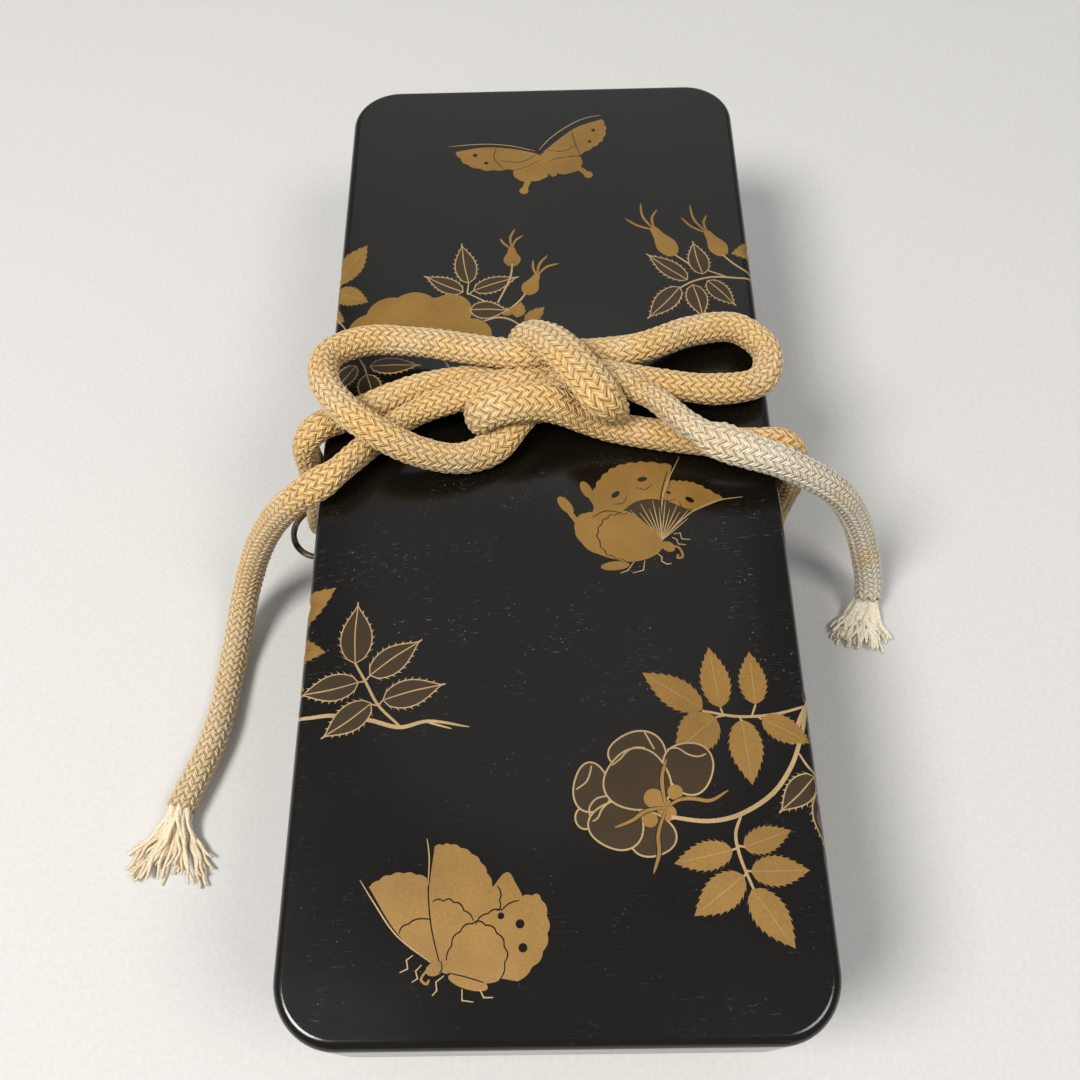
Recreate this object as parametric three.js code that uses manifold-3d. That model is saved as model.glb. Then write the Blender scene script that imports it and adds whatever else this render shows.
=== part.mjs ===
// A lacquered wooden document box with a deep overhanging lid, tied shut with two braided cords.
// Millimetres. +X is right, +Y runs along the length and +Z is up.
// The origin is on the underside, in the middle of the box.
import * as THREE from 'three';
import { mergeVertices } from 'three/addons/utils/BufferGeometryUtils.js';
import Module from 'manifold-3d';

const wasm = await Module();
wasm.setup();

// Lid
const lidWidth = 100;
const lidLength = 235;
const lidCornerRadius = 12;
const lidWall = 3;
const lidTopThickness = 3;
const lidSkirtDepth = 24;
const lidEdgeRounding = 2;
const lidInnerRounding = 1.5;
const crownRise = 0.9;
const totalHeight = 55;

// Body under the lid
const lidClearance = 0.5;
const bodyWall = 3.5;
const bodyFloor = 3.5;
const bodyFootRounding = 1;
const bodyInnerCove = 2.5;
const rimRounding = 0.6;
const contactGap = 0.3;

// Rings that the cords are sewn to, and the eyes that hold the rings on the long sides
const ringRadius = 7;
const ringWireRadius = 0.75;
const eyeHeight = 22;
const eyeRadius = 1.7;
const eyeWireRadius = 0.55;
const rosetteRadius = 4;
const rosetteThickness = 0.8;
const leftRingDroop = 0;
const rightRingDroop = Math.PI / 4;

// Cords
const cordDiameter = 6.6;
const cordSides = 10;
const frayThickness = 5;
const frayRounding = 0.8;

// How finely round forms are stepped
const cornerSteps = 7;
const edgeSteps = 4;
const crownSteps = 4;
const ringSteps = 28;
const wireSides = 8;

// Sizes that follow from the ones above
const medial = lidWidth / 2;
const topEdgeHeight = totalHeight - crownRise;
const ceilingHeight = topEdgeHeight - lidTopThickness;
const lidRimHeight = totalHeight - lidSkirtDepth;
const bodyInset = lidWall + lidClearance;
const bodyHeight = ceilingHeight - contactGap;
const bodyHalfWidth = medial - bodyInset;
const cordRadius = cordDiameter / 2;

// The left cord, from its end past the left ring, up and over the lid, under the knot and back,
// round the left loop, through the knot and down to the right tail's end.
const leftCordRoute = [
  [-56.3, 11.8, 31], [-56.2, 11.8, 22.3], [-56.1, 7, 16.8], [-56.1, 2.3, 22.3],
  [-54.9, 2.5, 32], [-53.9, 3.7, 46], [-53.7, 4.9, 54.4], [-50.5, 6.4, 58.2],
  [-41.2, 10.1, 59], [-28.2, 16, 59], [-16, 18.4, 58.7], [-5, 18.4, 58.5],
  [1.5, 18.6, 59], [4.2, 19.2, 62.2], [1.5, 19.6, 65.4], [-5, 19.4, 65.8],
  [-12.3, 21.3, 64.8], [-29.7, 25.9, 63], [-41.1, 26.2, 63], [-48.2, 21.5, 64],
  [-48, 13.6, 65.4], [-43.8, 6.8, 66.2], [-36.4, 0.5, 66], [-26.8, -2.6, 61.8],
  [-18, -2.6, 59.2], [-11, 0.6, 59.3], [-6.3, 5.4, 61.8], [-1, 9.9, 63.3],
  [12.7, 13.6, 65.4], [21.9, 9.6, 64], [30, 0.4, 65.6], [36.1, -3.9, 66],
  [49.3, -6.7, 61.7], [62.7, -6.2, 49], [70.9, -5.1, 34.5], [76.5, -6, 20],
  [80, -9.4, 8.5], [80.1, -13, 5],
];

// The right cord, from its end past the right ring, up and over the lid, left over the first loop,
// back under the knot, over it as the band, round the right loop and out to the left tail's end.
const rightCordRoute = [
  [54.4, 11.8, 26], [54.1, 11.8, 17.3], [54.2, 7, 11], [54.4, 2.3, 17.3],
  [54.3, 0.8, 28], [54.1, -1.2, 53.6], [50.6, -1.1, 58.3], [37, 0.2, 59.2],
  [14.5, 4.6, 59.2], [-1, 6, 67.2], [-10.6, 4.8, 67.4], [-14.6, 5, 64.2],
  [-14.2, 7.4, 60.3], [-8.5, 10.4, 58.6], [5, 10.8, 58.6], [11.8, 8.4, 60.8],
  [14.2, 5, 65.6], [11.6, 4.4, 70.4], [8.2, 9.2, 72], [3.8, 15.8, 71.4],
  [-0.2, 21.8, 69], [-4.2, 25.8, 65], [-3.4, 25.6, 60.4], [3.8, 24.8, 58.9],
  [20, 23.4, 62], [33.1, 29.1, 60.6], [43.3, 30.4, 59.6], [49.6, 24.5, 58.8],
  [48, 16.8, 58.8], [38, 13.4, 60], [8, 17, 62], [-7.5, 14.2, 63],
  [-29.3, 8.4, 60], [-46.5, -6.4, 59], [-53.8, -8.8, 55], [-66, -7.6, 35.6],
  [-76, -11.2, 12.4], [-79.4, -24, 4.4], [-82, -46, 3.9], [-87.9, -63.6, 3.9],
];

// Where each route is split into tubes, and the steps between two of its points
const leftCordStretches = [[0, 3, 3], [3, 12, 1], [12, 14, 2], [14, 37, 1]];
const rightCordStretches = [
  [0, 3, 3], [3, 11, 1], [11, 12, 2], [12, 17, 1], [17, 22, 1], [22, 34, 1], [34, 37, 2], [37, 39, 2],
];

// Each frayed end's spread and length, where it starts and which way it heads on the table
const rightFray = [17.5, 13.5, 80.2, -11, -3.02];
const leftFray = [19, 18.5, -87.5, -62, -2.86];

const lacquer = new THREE.MeshStandardMaterial({ color: 0x16140f, roughness: 0.18, metalness: 0 });
const metal = new THREE.MeshStandardMaterial({ color: 0x5d5546, roughness: 0.45, metalness: 1 });
const braid = new THREE.MeshStandardMaterial({ color: 0xcfa968, roughness: 0.8, metalness: 0 });

// A curve whose steps fall evenly between the points of its route
class RouteCurve extends THREE.CatmullRomCurve3 {
  getUtoTmapping(u) {
    return u;
  }
}

// Shared vertices merged, only positions kept, and triangles without area dropped
function solidGeometry(geometry) {
  const bare = new THREE.BufferGeometry();
  bare.setAttribute('position', geometry.getAttribute('position').clone());
  if (geometry.index) {
    bare.setIndex(geometry.index.clone());
  }
  const merged = mergeVertices(bare, 1e-4);
  const corners = merged.index.array;
  const kept = [];
  for (let i = 0; i < corners.length; i += 3) {
    const [a, b, c] = [corners[i], corners[i + 1], corners[i + 2]];
    if (a !== b && b !== c && c !== a) {
      kept.push(a, b, c);
    }
  }
  merged.setIndex(kept);
  return merged;
}

function toManifold(geometry) {
  const solid = solidGeometry(geometry);
  return new wasm.Manifold(new wasm.Mesh({
    numProp: 3,
    vertProperties: new Float32Array(solid.getAttribute('position').array),
    triVerts: new Uint32Array(solid.index.array),
  }));
}

function fromManifold(manifold) {
  const mesh = manifold.getMesh();
  const geometry = new THREE.BufferGeometry();
  const places = new Float32Array(mesh.numVert * 3);
  for (let i = 0; i < mesh.numVert; i++) {
    for (let k = 0; k < 3; k++) {
      places[i * 3 + k] = mesh.vertProperties[i * mesh.numProp + k];
    }
  }
  geometry.setAttribute('position', new THREE.BufferAttribute(places, 3));
  geometry.setIndex(Array.from(mesh.triVerts));
  return geometry;
}

function addMesh(parent, name, geometry, material) {
  const mesh = new THREE.Mesh(geometry, material);
  mesh.name = name;
  parent.add(mesh);
  return mesh;
}

// A place on the rounded outline that lies `inset` inside the lid's outer face
function outlinePlace(column, inset) {
  const corner = Math.floor(column / (cornerSteps + 1));
  const step = column % (cornerSteps + 1);
  const angle = (corner + step / cornerSteps) * Math.PI / 2;
  const radius = Math.max(lidCornerRadius - inset, 0);
  const sideX = corner === 0 || corner === 3 ? 1 : -1;
  const sideY = corner < 2 ? 1 : -1;
  const centreX = sideX * (lidWidth / 2 - inset - radius);
  const centreY = sideY * (lidLength / 2 - inset - radius);
  return [centreX + radius * Math.cos(angle), centreY + radius * Math.sin(angle)];
}

// A closed shell from a profile of [inset, height] that starts and ends on the middle line.
// It is a lathe whose circle is drawn out to the box's outline.
function sweepOutline(profile) {
  const columns = 4 * (cornerSteps + 1);
  const points = profile.map(([inset, height]) => new THREE.Vector2(medial - inset, height));
  const lathe = new THREE.LatheGeometry(points, columns);
  const position = lathe.getAttribute('position');
  for (let i = 0; i < position.count; i++) {
    const [inset, height] = profile[i % profile.length];
    const [x, y] = outlinePlace(Math.floor(i / profile.length) % columns, inset);
    position.setXYZ(i, x, y, height);
  }
  return solidGeometry(lathe);
}

// Points of a quarter round about a centre, turning from one angle to the next
function quarterRound(insetCentre, heightCentre, radius, fromTurn, toTurn, steps) {
  const points = [];
  for (let i = 0; i <= steps; i++) {
    const turn = (fromTurn + (toTurn - fromTurn) * i / steps) * Math.PI / 2;
    points.push([insetCentre - radius * Math.cos(turn), heightCentre + radius * Math.sin(turn)]);
  }
  return points;
}

// Height of the lid's gently crowned top, which falls away most near its edge
function crownHeight(inset) {
  const reach = (inset - lidEdgeRounding) / (medial - lidEdgeRounding);
  return totalHeight - crownRise * (1 - reach) ** 3;
}

function lidGeometry() {
  const profile = [[medial, ceilingHeight]];
  profile.push(...quarterRound(lidWall + lidInnerRounding, ceilingHeight - lidInnerRounding,
    lidInnerRounding, 1, 0, 2));
  profile.push(...quarterRound(lidWall - rimRounding, lidRimHeight + rimRounding, rimRounding, -2, -1, 2));
  profile.push(...quarterRound(rimRounding, lidRimHeight + rimRounding, rimRounding, -1, 0, 2));
  profile.push(...quarterRound(lidEdgeRounding, topEdgeHeight - lidEdgeRounding, lidEdgeRounding,
    0, 1, edgeSteps));
  for (let i = 1; i <= crownSteps; i++) {
    const inset = lidEdgeRounding + (medial - lidEdgeRounding) * (i / crownSteps) ** 2;
    profile.push([inset, crownHeight(inset)]);
  }
  return sweepOutline(profile);
}

function bodyGeometry() {
  const innerInset = bodyInset + bodyWall;
  const profile = [[medial, 0]];
  profile.push(...quarterRound(bodyInset + bodyFootRounding, bodyFootRounding, bodyFootRounding, -1, 0, 2));
  profile.push(...quarterRound(bodyInset + rimRounding, bodyHeight - rimRounding, rimRounding, 0, 1, 2));
  profile.push(...quarterRound(innerInset - rimRounding, bodyHeight - rimRounding, rimRounding, 1, 2, 2));
  profile.push(...quarterRound(innerInset + bodyInnerCove, bodyFloor + bodyInnerCove, bodyInnerCove,
    0, -1, 3));
  profile.push([medial, bodyFloor]);
  return sweepOutline(profile);
}

// Where a ring's wire passes through its eye, out from the middle of the box
function eyePivotX() {
  return bodyHalfWidth + contactGap + eyeRadius + eyeWireRadius;
}

// One side's eye and rosette on the body's wall. `side` is -1 on the left and 1 on the right,
// and `growth` thickens them all round.
function eyeGeometry(side, growth = 0) {
  const wallX = bodyHalfWidth + contactGap;
  const thickness = rosetteThickness + growth;
  const rosette = new THREE.CylinderGeometry(rosetteRadius * 0.8 + growth, rosetteRadius + growth, thickness, 20);
  rosette.rotateZ(-Math.PI / 2);
  rosette.translate(wallX + thickness / 2, 0, eyeHeight);
  const eye = new THREE.TorusGeometry(eyeRadius, eyeWireRadius + growth, wireSides, 16);
  eye.rotateX(Math.PI / 2);
  eye.translate(eyePivotX(), 0, eyeHeight);
  const joined = fromManifold(toManifold(rosette).add(toManifold(eye)));
  if (side < 0) {
    joined.rotateZ(Math.PI);
  }
  return joined;
}

// A loose ring that hangs out from its eye, `droop` below level
function ringMesh(name, side, droop, growth = 0) {
  const wire = new THREE.TorusGeometry(ringRadius, ringWireRadius + growth, wireSides, ringSteps);
  const ring = new THREE.Mesh(wire, metal);
  ring.name = name;
  ring.rotation.y = side * droop;
  ring.position.set(side * (eyePivotX() + ringRadius * Math.cos(droop)), 0,
    eyeHeight - ringRadius * Math.sin(droop));
  return ring;
}

// The room that a ring and its eye take, with the gap to the cord that is sewn round the ring
function fittingRoom(side, droop) {
  const ring = ringMesh('room', side, droop, contactGap);
  ring.updateMatrix();
  ring.geometry.applyMatrix4(ring.matrix);
  return toManifold(ring.geometry).add(toManifold(eyeGeometry(side, contactGap)));
}

// A plain tube of `radius` along a route, split where it turns back on itself
function cordTube(route, stretches, radius) {
  const section = new THREE.Shape();
  for (let i = 0; i < cordSides; i++) {
    const angle = i * 2 * Math.PI / cordSides;
    section[i === 0 ? 'moveTo' : 'lineTo'](radius * Math.cos(angle), radius * Math.sin(angle));
  }
  section.closePath();
  const points = route.map((place) => new THREE.Vector3(...place));
  const whole = new RouteCurve(points, false, 'centripetal');
  let cord = null;
  for (const [first, last, stepsPerSpan] of stretches) {
    const steps = (last - first) * stepsPerSpan;
    const places = [];
    for (let i = 0; i <= steps; i++) {
      places.push(whole.getPoint((first + i / stepsPerSpan) / (points.length - 1)));
    }
    const tube = toManifold(new THREE.ExtrudeGeometry(section, {
      steps, bevelEnabled: false, extrudePath: new RouteCurve(places, false, 'centripetal'),
    }));
    cord = cord ? cord.add(tube) : tube;
    if (last < points.length - 1) {
      const bend = new THREE.IcosahedronGeometry(radius * 1.02, 1);
      bend.translate(...route[last]);
      cord = cord.add(toManifold(bend));
    }
  }
  return cord;
}

// The frayed end of a cord: a fan of yarns that lies on the table
function frayedEnd(spread, length, startX, startY, heading) {
  const outline = new THREE.Shape();
  outline.moveTo(-cordRadius * 0.8, 0);
  outline.lineTo(cordRadius * 0.8, 0);
  outline.lineTo(spread / 2, length * 0.8);
  outline.absellipse(0, length * 0.8, spread / 2, length * 0.2, 0, Math.PI, false, 0);
  outline.closePath();
  const fan = new THREE.ExtrudeGeometry(outline, {
    depth: frayThickness - 2 * frayRounding, bevelEnabled: true, bevelSegments: 1, curveSegments: 6,
    bevelSize: frayRounding, bevelOffset: -frayRounding, bevelThickness: frayRounding,
  });
  fan.rotateZ(heading);
  fan.translate(startX, startY, frayRounding + contactGap);
  return toManifold(fan);
}

const group = new THREE.Group();

addMesh(group, 'box_body', bodyGeometry(), lacquer);
addMesh(group, 'lid', lidGeometry(), lacquer);
addMesh(group, 'ring_eye_left', eyeGeometry(-1), metal);
addMesh(group, 'ring_eye_right', eyeGeometry(1), metal);
group.add(ringMesh('ring_left', -1, leftRingDroop));
group.add(ringMesh('ring_right', 1, rightRingDroop));

const leftCord = cordTube(leftCordRoute, leftCordStretches, cordRadius)
  .subtract(fittingRoom(-1, leftRingDroop))
  .add(frayedEnd(...rightFray));
const leftCordGrown = cordTube(leftCordRoute, leftCordStretches, cordRadius + contactGap);
const rightCord = cordTube(rightCordRoute, rightCordStretches, cordRadius)
  .subtract(fittingRoom(1, rightRingDroop))
  .subtract(leftCordGrown)
  .add(frayedEnd(...leftFray));
addMesh(group, 'cord_left', fromManifold(leftCord), braid);
addMesh(group, 'cord_right', fromManifold(rightCord), braid);

export default group;
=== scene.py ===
import math

import bpy
import numpy as np
from mathutils import Matrix, Vector
from mathutils.geometry import delaunay_2d_cdt


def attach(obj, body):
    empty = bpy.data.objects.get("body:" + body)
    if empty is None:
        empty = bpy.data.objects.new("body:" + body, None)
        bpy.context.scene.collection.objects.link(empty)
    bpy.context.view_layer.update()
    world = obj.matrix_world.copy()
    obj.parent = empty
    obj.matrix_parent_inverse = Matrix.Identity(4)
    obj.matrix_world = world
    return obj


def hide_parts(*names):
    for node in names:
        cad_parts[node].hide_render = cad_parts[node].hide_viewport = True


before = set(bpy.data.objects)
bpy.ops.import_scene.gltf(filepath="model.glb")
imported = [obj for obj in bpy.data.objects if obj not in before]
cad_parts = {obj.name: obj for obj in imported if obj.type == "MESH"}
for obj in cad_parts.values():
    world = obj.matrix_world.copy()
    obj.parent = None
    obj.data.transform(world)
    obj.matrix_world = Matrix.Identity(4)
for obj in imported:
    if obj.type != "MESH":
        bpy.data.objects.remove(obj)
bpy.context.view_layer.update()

# Places are in the row frame. Lengths are in metres, and mm turns millimetres into them.
mm = 0.001

# Where the photograph was taken from: one camera above the box's near end, looking down its length
camera_place = Vector((0.0009, -0.1251, 0.2564))
camera_pitch = math.radians(62.56)
camera_yaw = math.radians(1.546)
camera_roll = math.radians(-2.436)
camera_focal_mm = 36.0
camera_sensor_mm = 36.0
floor_reach = 3.0

# The braid: columns of slanting stitches round the cord, and each stitch's share of its length
cord_diameter = 7.0 * mm
stitch_length = 2.05 * mm
braid_columns = 16
steps_per_column = 4
steps_per_stitch = 6
stitch_slant = 1.25 * mm
stitch_depth = 0.5 * mm
stitch_unevenness = 0.22
yarns_per_stitch = 3

cord_widening, cord_flattening = 0.38, 0.24
steps_per_span = 24

# The thread bound round each cord's end at its ring, and the yarns of the frayed ends
thread_thickness = 0.8 * mm
thread_turns = 6
bound_end_height = 1.5 * mm
fringe_radius = 2.7 * mm
yarn_thickness = 0.49 * mm

# Where the cords are pressed flat, by the numbers of the route's points, and how much
left_pressed = [(5.4, 7, 0.6), (9, 17, 0.35), (23, 27, 0.3), (27.4, 31.4, 0.75)]
right_pressed = [(4.8, 6.4, 0.8), (8.5, 13.5, 0.6), (16.7, 21.2, 1.15), (29.4, 33.4, 0.6)]
knot_heart = (2 * mm, 13 * mm, 55 * mm)

# The lid and the body, as in the part's source
lid_width, lid_length = 100.0, 235.0
corner_radius = 12.0
lid_wall = 3.0
edge_rounding = 2.0
inner_rounding = 1.5
crown_rise = 0.9
lid_height = 55.0
ceiling_height = 51.1
rim_height = 31.0
rim_rounding = 0.6
body_inset = 3.5
body_wall = 3.5
body_height = 50.8
body_floor = 3.5
foot_rounding = 1.0
floor_cove = 2.5

# How finely the box is meshed
corner_steps = 14
column_spacing = 4.0
top_spacing = 3.0

# What the surface is at a place of the lid, in the order of its materials
LACQUER, GOLD, SHADE, LINE = range(4)

# The ring fittings, as in the part's source
body_half_width = lid_width / 2 - body_inset
contact_gap = 0.3
ring_radius = 7.0
ring_wire = 0.75
eye_height = 22.0
eye_radius = 1.7
eye_wire = 0.55
rosette_radius = 4.0
rosette_thickness = 0.8
right_ring_droop = math.pi / 4

# The left cord, from its end past the left ring, under and round the knot to the right tail's end
left_route = [
    (-0.0563, 0.0118, 0.031), (-0.0562, 0.0118, 0.0223), (-0.0561, 0.007, 0.0168),
    (-0.0561, 0.0023, 0.0223), (-0.0549, 0.0025, 0.032), (-0.0539, 0.0037, 0.046),
    (-0.0537, 0.0049, 0.0544), (-0.0505, 0.0064, 0.0582), (-0.0412, 0.0101, 0.059),
    (-0.0282, 0.016, 0.059), (-0.016, 0.0184, 0.0587), (-0.005, 0.0184, 0.0585),
    (0.0015, 0.0186, 0.059), (0.0042, 0.0192, 0.0622), (0.0015, 0.0196, 0.0654),
    (-0.005, 0.0194, 0.0658), (-0.0123, 0.0213, 0.0648), (-0.0297, 0.0259, 0.063),
    (-0.0411, 0.0262, 0.063), (-0.0482, 0.0215, 0.064), (-0.048, 0.0136, 0.0654),
    (-0.0438, 0.0068, 0.0662), (-0.0364, 0.0005, 0.066), (-0.0268, -0.0026, 0.0618),
    (-0.018, -0.0026, 0.0592), (-0.011, 0.0006, 0.0593), (-0.0063, 0.0054, 0.0618),
    (-0.001, 0.0099, 0.0633), (0.0127, 0.0136, 0.0654), (0.0219, 0.0096, 0.064),
    (0.03, 0.0004, 0.0656), (0.0361, -0.0039, 0.066), (0.0493, -0.0067, 0.0617),
    (0.0627, -0.0062, 0.049), (0.0709, -0.0051, 0.0345), (0.0765, -0.006, 0.02),
    (0.08, -0.0094, 0.0085), (0.0801, -0.013, 0.005),
]

# The right cord, from its end past the right ring, round the collar and the band of the knot,
# round the right loop and out to the left tail's end
right_route = [
    (0.0544, 0.0118, 0.026), (0.0541, 0.0118, 0.0173), (0.0542, 0.007, 0.011),
    (0.0544, 0.0023, 0.0173), (0.0543, 0.0008, 0.028), (0.0541, -0.0012, 0.0536),
    (0.0506, -0.0011, 0.0583), (0.037, 0.0002, 0.0592), (0.0145, 0.0046, 0.0592),
    (-0.001, 0.006, 0.0672), (-0.0106, 0.0048, 0.0674), (-0.0146, 0.005, 0.0642),
    (-0.0142, 0.0074, 0.0603), (-0.0085, 0.0104, 0.0586), (0.005, 0.0108, 0.0586),
    (0.0118, 0.0084, 0.0608), (0.0142, 0.005, 0.0656), (0.0116, 0.0044, 0.0704),
    (0.0082, 0.0092, 0.072), (0.0038, 0.0158, 0.0714), (-0.0002, 0.0218, 0.069),
    (-0.0042, 0.0258, 0.065), (-0.0034, 0.0256, 0.0604), (0.0038, 0.0248, 0.0589),
    (0.02, 0.0234, 0.062), (0.0331, 0.0291, 0.0606), (0.0433, 0.0304, 0.0596),
    (0.0496, 0.0245, 0.0588), (0.048, 0.0168, 0.0588), (0.038, 0.0134, 0.06),
    (0.008, 0.017, 0.062), (-0.0075, 0.0142, 0.063), (-0.0293, 0.0084, 0.06),
    (-0.0465, -0.0064, 0.059), (-0.0538, -0.0088, 0.055), (-0.066, -0.0076, 0.0356),
    (-0.076, -0.0112, 0.0124), (-0.0794, -0.024, 0.0044), (-0.082, -0.046, 0.0039),
    (-0.0879, -0.0636, 0.0039),
]


def new_mesh(name, points, faces, materials, smooth=True):
    """An object from points and faces, in the scene and with its materials."""
    mesh = bpy.data.meshes.new(name)
    mesh.from_pydata([tuple(p) for p in points], [], [tuple(f) for f in faces])
    mesh.validate()
    mesh.update()
    for material in materials:
        mesh.materials.append(material)
    mesh.polygons.foreach_set("use_smooth", [smooth] * len(mesh.polygons))
    piece = bpy.data.objects.new(name, mesh)
    bpy.context.scene.collection.objects.link(piece)
    return piece


def set_attribute(piece, key, numbers):
    """Gives each point of a piece a number, which its material reads."""
    layer = piece.data.attributes.new(key, "FLOAT", "POINT")
    layer.data.foreach_set("value", np.array(numbers, np.float32))


def tube_faces(rows, around, first=0, ends=None):
    """The faces between rows of points, each row a closed round, and the fans to two end points."""
    faces = []
    last = first + (rows - 1) * around
    for j in range(around):
        k = (j + 1) % around
        for low in range(first, last, around):
            faces.append((low + j, low + k, low + around + k, low + around + j))
        if ends:
            faces.extend([(ends[0], first + k, first + j), (ends[1], last + j, last + k)])
    return faces


def new_material(name):
    """Short ways to add nodes to a new material, to link its shader and to finish it."""
    material = bpy.data.materials.new(name)
    material.use_nodes = True
    tree = material.node_tree
    shader = tree.nodes["Principled BSDF"]

    def add(kind, links=(), **settings):
        node = tree.nodes.new(kind)
        for key, value in settings.items():
            if key in node.bl_rna.properties:
                setattr(node, key, value)
            else:
                node.inputs[key.replace("_", " ")].default_value = value
        for socket, source in links:
            tree.links.new(source, node.inputs[socket])
        return node

    def link(source, socket):
        tree.links.new(source, shader.inputs[socket])

    def finish(height=None, strength=0, depth=0, **settings):
        if height:
            bump = add("ShaderNodeBump", [("Height", height)], Strength=strength, Distance=depth)
            link(bump.outputs["Normal"], "Normal")
        for key, value in settings.items():
            shader.inputs[key.replace("_", " ")].default_value = value
        return material

    return add, link, finish


def rgba(colour):
    """Four numbers from a colour, which is three numbers or one grey."""
    return (*(colour if isinstance(colour, tuple) else (colour,) * 3), 1)


def ramp(add, source, stops):
    """A colour ramp of (place, colour) stops, fed by a value."""
    node = add("ShaderNodeValToRGB", [("Fac", source)])
    elements = node.color_ramp.elements
    while len(elements) < len(stops):
        elements.new(0.5)
    for element, (place, colour) in zip(elements, stops):
        element.position = place
        element.color = rgba(colour)
    return node.outputs["Color"]


def mix_colour(add, factor, first, second, blend="MIX"):
    """Two colours, each a socket or three numbers, mixed by a value that is a socket or a number."""
    node = add("ShaderNodeMix", data_type="RGBA", blend_type=blend)
    tree = node.id_data
    for index, value in ((0, factor), (6, first), (7, second)):
        if isinstance(value, bpy.types.NodeSocket):
            tree.links.new(value, node.inputs[index])
        elif index == 0:
            node.inputs[index].default_value = value
        else:
            node.inputs[index].default_value = rgba(value)
    return node.outputs[2]


def calc(add, operation, *values, clamp=False):
    """The result of a maths node, from sockets and numbers."""
    node = add("ShaderNodeMath", operation=operation, use_clamp=clamp)
    for socket, value in zip(node.inputs, values):
        if isinstance(value, bpy.types.NodeSocket):
            node.id_data.links.new(value, socket)
        else:
            socket.default_value = value
    return node.outputs[0]


def attribute(add, name):
    """A number that the mesh carries at its points."""
    return add("ShaderNodeAttribute", attribute_name=name).outputs["Fac"]


def object_place(add):
    return add("ShaderNodeTexCoord").outputs["Object"]


def noise(add, scale, detail, place=None):
    """Cloudy noise in the object's own space, or in a stretched one."""
    links = [("Vector", place or object_place(add))]
    return add("ShaderNodeTexNoise", links, Scale=scale, Detail=detail).outputs["Fac"]


def curve_through(route, per_span=steps_per_span):
    """Points of the smooth curve through a route, and the place of each route point among them."""
    p = np.array(route)
    p = np.vstack([2 * p[0] - p[1], p, 2 * p[-1] - p[-2]])
    gap = np.sqrt(np.linalg.norm(np.diff(p, axis=0), axis=1))
    t = np.arange(per_span)[:, None] / per_span
    spans = []
    for i in range(1, len(p) - 2):
        d0, d1, d2 = gap[i - 1], gap[i], gap[i + 1]
        m1 = d1 * ((p[i] - p[i - 1]) / d0 - (p[i + 1] - p[i - 1]) / (d0 + d1) + (p[i + 1] - p[i]) / d1)
        m2 = d1 * ((p[i + 1] - p[i]) / d1 - (p[i + 2] - p[i]) / (d1 + d2) + (p[i + 2] - p[i + 1]) / d2)
        c2 = 3 * (p[i + 1] - p[i]) - 2 * m1 - m2
        c3 = 2 * (p[i] - p[i + 1]) + m1 + m2
        spans.append(p[i] + m1 * t + c2 * t**2 + c3 * t**3)
    spans.append(p[-2][None])
    return np.vstack(spans)


def lengths_along(points):
    """How far along the line each of its points is."""
    return np.concatenate([[0], np.cumsum(np.linalg.norm(np.diff(points, axis=0), axis=1))])


def unit(vectors):
    return vectors / np.linalg.norm(vectors, axis=-1, keepdims=True)


def at(places, known, values):
    """Rows of values, read off at new places along a line."""
    return np.stack([np.interp(places, known, values[:, k]) for k in range(values.shape[1])], axis=-1)


def frames_along(points):
    """Two directions across the line at each point, which don't twist round it."""
    tangents = unit(np.gradient(points, axis=0))
    across = [unit(np.cross(tangents[0], (0.3, 0.2, 1.0)))]
    for tangent in tangents[1:]:
        last = across[-1]
        across.append(unit(last - tangent * np.dot(last, tangent)))
    across = np.array(across)
    return tangents, across, np.cross(tangents, across)


def smooth_step(value, low, high):
    t = np.clip((value - low) / (high - low), 0, 1)
    return t * t * (3 - 2 * t)


def window(along, low, high, edge):
    """1 between two places along a cord, and 0 outside them."""
    return smooth_step(along, low - edge, low + edge) * (1 - smooth_step(along, high - edge, high + edge))


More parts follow.
